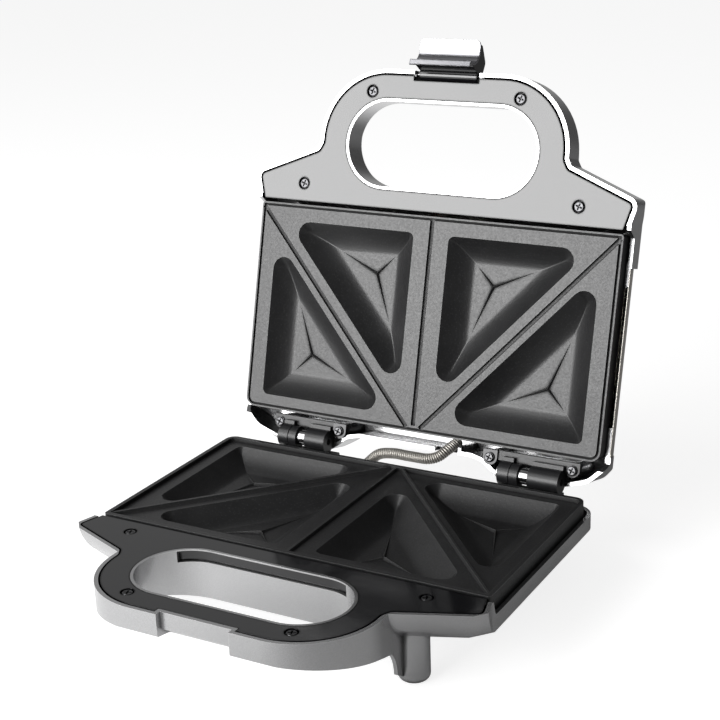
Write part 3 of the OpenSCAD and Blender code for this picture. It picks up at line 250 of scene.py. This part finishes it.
def nonstick():
    f = Finish("nonstick_coating", (0.012, 0.012, 0.0125), 0.4, Specular_IOR_Level=0.66)
    grain = f.noise(1.1 * MM, 4)
    speck = f.span(f.cells(1.3 * MM), 0.12, 0.3, 1.0, 0.0)
    cloud = f.varied(f.noise(16 * MM, 3), 0.0, 1.0)
    ground = f.mixed(cloud, (0.008, 0.008, 0.0085), (0.013, 0.013, 0.0135))
    speckled = f.mixed(f.times(speck, 0.2), ground, (0.11, 0.11, 0.115))
    # Painted shade: grooves and creases turn black
    painted_hollow_shade = f.hollows(2 * MM, 0.66, 0.88)
    # Painted highlight: the coating turns lighter along its ridges and rims
    f.colour(f.mixed(painted_hollow_shade, f.edge_highlight_or_shade(speckled, (0.16, 0.16, 0.16), 0.6), PAINTED_SHADE_BLACK))
    f.rough(f.mixed(painted_hollow_shade, f.varied(grain, 0.34, 0.46), (0.95, 0.95, 0.95)))
    f.bump(grain, 0.07 * MM, 0.8)
    return f.material


def black_satin():
    f = Finish("black_satin", (0.012, 0.012, 0.013), 0.35)
    grain = f.noise(0.6 * MM, 3)
    ground = f.mixed(grain, (0.009, 0.009, 0.01), (0.018, 0.018, 0.019))
    # Painted highlight: the plastic turns lighter along its sharp edges
    f.colour(f.edge_highlight_or_shade(ground, (0.06, 0.06, 0.06)))
    f.rough(f.varied(grain, 0.28, 0.42))
    f.bump(grain, 0.03 * MM, 0.5)
    return f.material


def brushed(name, light, dark, rough, stretch):
    """Metal with fine lines along the axis whose scale in stretch is smallest."""
    f = Finish(name, light, rough, 1.0, Anisotropic=0.35)
    lines = f.noise(3 * MM, 4, stretch)
    # Painted highlight: the metal turns lighter along its sharp edges
    edge_highlight_colour = tuple(min(1, 1.2 * c) for c in light)
    f.colour(f.edge_highlight_or_shade(f.mixed(lines, dark, light), edge_highlight_colour, 0.4))
    gap = f.hollows(GAP_REACH, GAP_CLOSED, GAP_CLEAR)
    f.rough(f.mixed(gap, f.varied(lines, rough - 0.07, rough + 0.08), (0.8, 0.8, 0.8)))
    f.bump(lines, 0.01 * MM, 0.4)
    return f.material


def latch_steel():
    """Bright spring steel with fine lines across, and painted shade along its rounded edges."""
    f = Finish("latch_steel", (0.4, 0.4, 0.42), 0.28, 1.0)
    lines = f.noise(1.5 * MM, 4, (0.05, 3, 3))
    ground = f.mixed(lines, (0.34, 0.34, 0.36), (0.46, 0.46, 0.48))
    # Painted shade: the rounded edges turn near black, an outline
    f.colour(f.edge_highlight_or_shade(ground, (0.02, 0.02, 0.02), 0.97, 1.1 * MM))
    f.rough(f.varied(lines, 0.2, 0.34))
    return f.material


def smeared_steel(name, dark, light):
    f = Finish(name, light, 0.16, 1.0)
    smear = f.noise(2 * MM, 4)
    f.colour(f.mixed(smear, dark, light))
    f.rough(f.varied(smear, 0.1, 0.24))
    return f.material


def screw_steel():
    f = Finish("screw_steel", (0.12, 0.12, 0.125), 0.3, 1.0)
    smear = f.noise(0.9 * MM, 3)
    ground = f.mixed(smear, (0.08, 0.08, 0.083), (0.13, 0.13, 0.135))
    # Painted shade: the cross recess and the sharp edges of the head turn black
    painted_hollow_shade = f.hollows(0.7 * MM, 0.82, 0.97)
    f.colour(f.mixed(painted_hollow_shade, f.edge_highlight_or_shade(ground, PAINTED_SHADE_BLACK, 0.95), PAINTED_SHADE_BLACK))
    f.rough(f.mixed(painted_hollow_shade, f.varied(smear, 0.22, 0.4), (1, 1, 1)))
    f.bump(smear, 0.02 * MM, 0.4)
    return f.material


def heated_sheath():
    f = Finish("heated_sheath", (0.2, 0.15, 0.12), 0.45, 0.9)
    stain = f.noise(12 * MM, 5)
    f.colour(f.mixed(stain, (0.1, 0.08, 0.07), (0.32, 0.22, 0.15)))
    f.rough(f.varied(stain, 0.35, 0.6))
    return f.material


def pale_ceramic():
    f = Finish("pale_ceramic", (0.72, 0.68, 0.58), 0.5)
    cloud = f.noise(3 * MM, 4)
    f.colour(f.mixed(cloud, (0.66, 0.62, 0.52), (0.78, 0.75, 0.66)))
    f.bump(cloud, 0.04 * MM, 0.5)
    return f.material


def grey_rubber():
    f = Finish("grey_rubber", (0.05, 0.05, 0.05), 0.75)
    grain = f.noise(0.4 * MM, 4)
    f.colour(f.mixed(grain, (0.035, 0.035, 0.036), (0.075, 0.075, 0.074)))
    f.bump(grain, 0.05 * MM, 0.7)
    return f.material


def clear_lens(name, colour):
    f = Finish(name, colour, 0.08, Transmission_Weight=0.7, IOR=1.49)
    cloud = f.noise(2 * MM, 2)
    f.colour(f.mixed(cloud, tuple(0.8 * c for c in colour), colour))
    f.rough(f.varied(cloud, 0.05, 0.12))
    return f.material


def conduit_steel():
    f = Finish("conduit_steel", (0.5, 0.48, 0.44), 0.45, 0.8)
    smear = f.noise(1.5 * MM, 4)
    f.colour(f.mixed(smear, (0.42, 0.4, 0.37), (0.56, 0.54, 0.5)))
    f.rough(f.varied(smear, 0.4, 0.52))
    return f.material


def make_finishes():
    """The finish of each material slot, and those of single nodes."""
    sheet_light, sheet_dark = (0.8, 0.8, 0.8), (0.68, 0.68, 0.68)
    return {
        "silver_plastic": silver_paint(),
        "black_gloss": black_gloss(),
        "black_satin": black_satin(),
        "nonstick": nonstick(),
        "steel": brushed("brushed_steel", (0.66, 0.63, 0.58), (0.5, 0.48, 0.45), 0.24, (0.04, 3, 3)),
        "bright_steel": smeared_steel("bright_steel", (0.4, 0.4, 0.41), (0.56, 0.56, 0.56)),
        "strap_steel": smeared_steel("strap_steel", (0.03, 0.03, 0.031), (0.05, 0.05, 0.05)),
        "latch_steel": latch_steel(),
        "screw_steel": screw_steel(),
        "element_sheath": heated_sheath(),
        "reflector_sheet": brushed("reflector_sheet", sheet_light, sheet_dark, 0.3, (1, 0.1, 1)),
        "ceramic": pale_ceramic(),
        "rubber": grey_rubber(),
        "red_lens": clear_lens("red_lens", (0.75, 0.03, 0.02)),
        "green_lens": clear_lens("green_lens", (0.03, 0.55, 0.08)),
        "conduit_steel": conduit_steel(),
    }


# Pieces

SLOT = {row["node"]: row["material_slot"] for row in frame["record"]["subparts"]}
BODIES = frame["record"]["behaviour"]["bodies"]
BODY = {node: body for body, nodes in BODIES.items() for node in nodes}

# Edges that turn by more than this are rounded, and faces that turn by less are one flat face
SHARP_FROM = math.radians(32)
FLAT_BELOW = math.radians(0.6)
MERGE_BELOW = 2e-6

# Nodes whose finish differs from the others of their slot
FINISH = {
    **SLOT,
    "lid_hinge_screws": "screw_steel",
    "lid_hinge_straps": "strap_steel",
    "latch_hook": "latch_steel",
}

# Nodes that get rounded edges, with the width of the rounding
ROUNDED = {
    "base_housing": 0.7 * MM,
    "base_handle_cover": 0.6 * MM,
    "base_plate": 0.4 * MM,
    "lid_front_housing": 0.6 * MM,
    "lid_steel_cover": 0.15 * MM,
    "lid_rear_housing": 0.45 * MM,
    "lid_handle_cover": 0.8 * MM,
    "lid_plate": 0.4 * MM,
    "base_hinge_left": 0.3 * MM,
    "base_hinge_right": 0.3 * MM,
    "lid_hinge_left": 0.3 * MM,
    "lid_hinge_right": 0.3 * MM,
    "lid_hinge_straps": 0.2 * MM,
    "hinge_sleeves": 0.3 * MM,
    "latch_arm": 0.4 * MM,
    "latch_hook": 0.25 * MM,
}


def clean_mesh(source, name):
    """Copy of a node's mesh with its flat triangles joined into whole faces."""
    mesh = source.data.copy()
    mesh.name = name
    work = bmesh.new()
    work.from_mesh(mesh)
    bmesh.ops.remove_doubles(work, verts=work.verts, dist=MERGE_BELOW)
    bmesh.ops.dissolve_limit(work, angle_limit=FLAT_BELOW, verts=work.verts, edges=work.edges)
    work.to_mesh(mesh)
    work.free()
    return mesh


def add_rounded_piece(node, width, finishes):
    """A copy of the node with rounded edges, which stands in for it."""
    name = f"{node}_rounded"
    piece = bpy.data.objects.new(name, clean_mesh(frame["nodes"][node], name))
    bpy.context.scene.collection.objects.link(piece)
    bevel = piece.modifiers.new("round", "BEVEL")
    bevel.width = width
    bevel.segments = 2
    bevel.limit_method = "ANGLE"
    bevel.angle_limit = SHARP_FROM
    bevel.use_clamp_overlap = True
    even = piece.modifiers.new("even", "WEIGHTED_NORMAL")
    even.mode = "FACE_AREA"
    even.weight = 100
    piece.data.shade_smooth()
    piece.data.materials.clear()
    piece.data.materials.append(finishes[FINISH[node]])
    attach(piece, BODY[node])
    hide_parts(node)


def dress_nodes(finishes):
    for name, node in frame["nodes"].items():
        if name in ROUNDED:
            add_rounded_piece(name, ROUNDED[name], finishes)
        elif name != "wire_conduit":
            node.data.materials.clear()
            node.data.materials.append(finishes[FINISH[name]])


# Conduit: its route is the one in the CAD source, in millimetres, with Y from the plates' rear edge
# and Z from where they meet. The lid's part is given for the closed lid.
CONDUIT_BASE = [
    (-33.5, 0.5, -15.2), (-33, 6, -15), (-31, 11, -13), (-26, 13.2, -8), (-19, 13.5, -2),
]
CONDUIT_AXIS = [(-10, 13.5, 0), (-3, 13.5, 0), (4, 13.5, 0)]
CONDUIT_LID = [(11, 13.3, 0.2), (16.5, 11.4, 1.6), (20.5, 7.4, 4), (22.8, 4.2, 8.5), (23.2, 3.4, 12)]
CONDUIT_D = 6.2
COIL_WIRE_D = 1.25
COIL_PITCH = 1.2
COIL_STEPS = 16
WIRE_SIDES = 6
ROUTE_STEPS = 24
HINGE = Vector(frame["joints"][0]["pos_m"])
HINGE_Y = 13.5
LID_OPEN = math.radians(frame["joints"][0]["range_deg"][1])


def conduit_route():
    """The conduit's points in the row frame, in metres."""
    route = []
    for x, y, z in CONDUIT_BASE + CONDUIT_AXIS:
        route.append(HINGE + MM * Vector((x, y - HINGE_Y, z)))
    for x, y, z in CONDUIT_LID:
        turned = Matrix.Rotation(-LID_OPEN, 3, "X") @ Vector((0, y - HINGE_Y, z))
        route.append(HINGE + MM * (turned + Vector((x, 0, 0))))
    return route


def smooth_line(points, steps):
    """Catmull-Rom line through the points."""
    line = []
    last = len(points) - 1
    for i in range(last):
        a, b = points[max(i - 1, 0)], points[i]
        c, d = points[i + 1], points[min(i + 2, last)]
        for k in range(steps):
            t = k / steps
            line.append(0.5 * (2 * b + (c - a) * t + (2 * a - 5 * b + 4 * c - d) * t * t
                               + (3 * b - a - 3 * c + d) * t ** 3))
    return line + [points[-1]]


def direction(line, i):
    """The line's direction at its point i."""
    return (line[min(i + 1, len(line) - 1)] - line[max(i - 1, 0)]).normalized()


def even_line(line, step):
    """The same line with points every step metres, and the direction at each."""
    even = [line[0]]
    carried = 0.0
    for a, b in zip(line, line[1:]):
        length = (b - a).length
        while carried + length >= step * len(even):
            even.append(a + (b - a) * ((step * len(even) - carried) / length))
        carried += length
    return even, [direction(even, i) for i in range(len(even))]


def swept_tube(name, line, radius, sides):
    """Mesh tube of round section along a line of points, closed at its ends."""
    work = bmesh.new()
    side = Vector((0.3, 0.2, 1)).normalized()
    rings = []
    for i, place in enumerate(line):
        way = direction(line, i)
        side = (side - side.dot(way) * way).normalized()
        other = way.cross(side)
        rings.append([
            work.verts.new(place + radius * (math.cos(a) * side + math.sin(a) * other))
            for a in (2 * math.pi * k / sides for k in range(sides))
        ])
    for one, two in zip(rings, rings[1:]):
        for k in range(sides):
            work.faces.new((one[k], one[(k + 1) % sides], two[(k + 1) % sides], two[k]))
    work.faces.new(list(reversed(rings[0])))
    work.faces.new(rings[-1])
    mesh = bpy.data.meshes.new(name)
    work.normal_update()
    work.to_mesh(mesh)
    work.free()
    mesh.shade_smooth()
    piece = bpy.data.objects.new(name, mesh)
    bpy.context.scene.collection.objects.link(piece)
    return piece


def make_conduit(finishes):
    """Close-wound steel spiral along the conduit's route."""
    step = COIL_PITCH * MM / COIL_STEPS
    centres, ways = even_line(smooth_line(conduit_route(), ROUTE_STEPS), step)
    coil_radius = (CONDUIT_D - COIL_WIRE_D) / 2 * MM
    side = Vector((0, 0, 1))
    spiral = []
    for i, (centre, way) in enumerate(zip(centres, ways)):
        side = (side - side.dot(way) * way).normalized()
        angle = 2 * math.pi * i / COIL_STEPS
        outward = math.cos(angle) * side + math.sin(angle) * way.cross(side)
        spiral.append(centre + coil_radius * outward)
    conduit = swept_tube("wire_conduit_spiral", spiral, COIL_WIRE_D / 2 * MM, WIRE_SIDES)
    conduit.data.materials.append(finishes["conduit_steel"])
    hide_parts("wire_conduit")
    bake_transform(conduit)


# Stage: two soft boxes, a world and a floor. The ways point from the target to the lamp.

KEY_TARGET = Vector((0, 0.11, 0.16))
KEY_WAY = Vector((-0.38, -0.9, 0.21))
KEY_DISTANCE = 1.5
KEY_SIZE = (1.14, 0.8)
KEY_RADIANCE = 9.0
TOP_TARGET = Vector((0, 0, 0.05))
TOP_WAY = Vector((-0.5, -0.5, 0.75))
TOP_DISTANCE = 1.6
TOP_SIZE = (0.9, 0.6)
TOP_RADIANCE = 4.0
WORLD_DIFFUSE = 0.22
WORLD_FRONT = 0.1
WORLD_BACK = 0.42
FLOOR_SIZE = 6.0
FLOOR_COLOUR = 0.5
FLOOR_CAMERA = 0.8
FLOOR_BRIGHT = 0.75
FLOOR_DARK = 0.02
FLOOR_ROUGH = 0.9

# Where the floor's reflection turns from bright to dark, along X
FLOOR_BRIGHT_X, FLOOR_DARK_X = -0.1, 0.12


def soft_box(name, way, distance, size, radiance, target):
    data = bpy.data.lights.new(name, "AREA")
    data.shape = "RECTANGLE"
    data.size, data.size_y = size
    data.energy = radiance * math.pi * size[0] * size[1]
    light = bpy.data.objects.new(name, data)
    bpy.context.scene.collection.objects.link(light)
    light.location = target + way.normalized() * distance
    light.rotation_mode = "QUATERNION"
    light.rotation_quaternion = (-way).to_track_quat("-Z", "Y")


def ramp(tree, value, low, high, out_low, out_high):
    """Smooth change from out_low to out_high while the value goes from low to high."""
    made = tree.nodes.new("ShaderNodeMapRange")
    made.interpolation_type = "SMOOTHSTEP"
    tree.links.new(value, made.inputs["Value"])
    for socket, number in zip(("From Min", "From Max"), (low, high)):
        made.inputs[socket].default_value = number
    for socket, level in zip(("To Min", "To Max"), (out_low, out_high)):
        if isinstance(level, bpy.types.NodeSocket):
            tree.links.new(level, made.inputs[socket])
        else:
            made.inputs[socket].default_value = level
    return made.outputs["Result"]


def by_ray(tree, plain, **levels):
    """Strength by kind of ray: plain for diffuse light, and others for the named kinds."""
    rays = tree.nodes.new("ShaderNodeLightPath")
    value = plain
    for kind, level in levels.items():
        made = tree.nodes.new("ShaderNodeMix")
        tree.links.new(rays.outputs[f"Is {kind} Ray"], made.inputs[0])
        for socket, part in ((made.inputs[2], value), (made.inputs[3], level)):
            if isinstance(part, bpy.types.NodeSocket):
                tree.links.new(part, socket)
            else:
                socket.default_value = part
        value = made.outputs[0]
    return value


def make_world():
    """White to the camera. Reflections find it bright behind the toaster on the left, else dim."""
    world = bpy.data.worlds.new("studio")
    world.use_nodes = True
    bpy.context.scene.world = world
    tree = world.node_tree
    ground = tree.nodes["Background"]
    ground.inputs["Color"].default_value = (1, 1, 1, 1)
    place = tree.nodes.new("ShaderNodeTexCoord")
    parts = tree.nodes.new("ShaderNodeSeparateXYZ")
    tree.links.new(place.outputs["Generated"], parts.inputs[0])
    behind = ramp(tree, parts.outputs["X"], -0.35, 0.15, WORLD_BACK, WORLD_FRONT)
    mirrored = ramp(tree, parts.outputs["Y"], -0.2, 0.5, WORLD_FRONT, behind)
    strength = by_ray(tree, WORLD_DIFFUSE, Camera=1.0, Glossy=mirrored, Transmission=1.0)
    tree.links.new(strength, ground.inputs["Strength"])


def make_floor():
    """White table that keeps the toaster's shadow, and mirrors dimmer on the right."""
    mesh = bpy.data.meshes.new("floor")
    half = FLOOR_SIZE / 2
    corners = [(-half, -half, 0), (half, -half, 0), (half, half, 0), (-half, half, 0)]
    mesh.from_pydata(corners, [], [(0, 1, 2, 3)])
    floor = bpy.data.objects.new("floor", mesh)
    bpy.context.scene.collection.objects.link(floor)
    material = bpy.data.materials.new("pale_floor")
    material.use_nodes = True
    tree = material.node_tree
    shader = tree.nodes["Principled BSDF"]
    shader.inputs["Base Color"].default_value = (FLOOR_COLOUR, FLOOR_COLOUR, FLOOR_COLOUR, 1)
    shader.inputs["Roughness"].default_value = FLOOR_ROUGH
    shader.inputs["Specular IOR Level"].default_value = 0.0
    shader.inputs["Emission Color"].default_value = (1, 1, 1, 1)
    parts = tree.nodes.new("ShaderNodeSeparateXYZ")
    tree.links.new(tree.nodes.new("ShaderNodeNewGeometry").outputs["Position"], parts.inputs[0])
    across = parts.outputs["X"]
    mirrored = ramp(tree, across, FLOOR_BRIGHT_X, FLOOR_DARK_X, FLOOR_BRIGHT, FLOOR_DARK)
    strength = by_ray(tree, 0.0, Camera=FLOOR_CAMERA, Glossy=mirrored, Transmission=FLOOR_CAMERA)
    tree.links.new(strength, shader.inputs["Emission Strength"])
    mesh.materials.append(material)


def make_stage():
    soft_box("key", KEY_WAY, KEY_DISTANCE, KEY_SIZE, KEY_RADIANCE, KEY_TARGET)
    soft_box("top", TOP_WAY, TOP_DISTANCE, TOP_SIZE, TOP_RADIANCE, TOP_TARGET)
    make_world()
    make_floor()


make_camera()
finishes = make_finishes()
dress_nodes(finishes)
make_conduit(finishes)
make_stage()
bpy.context.scene.view_settings.view_transform = "Standard"
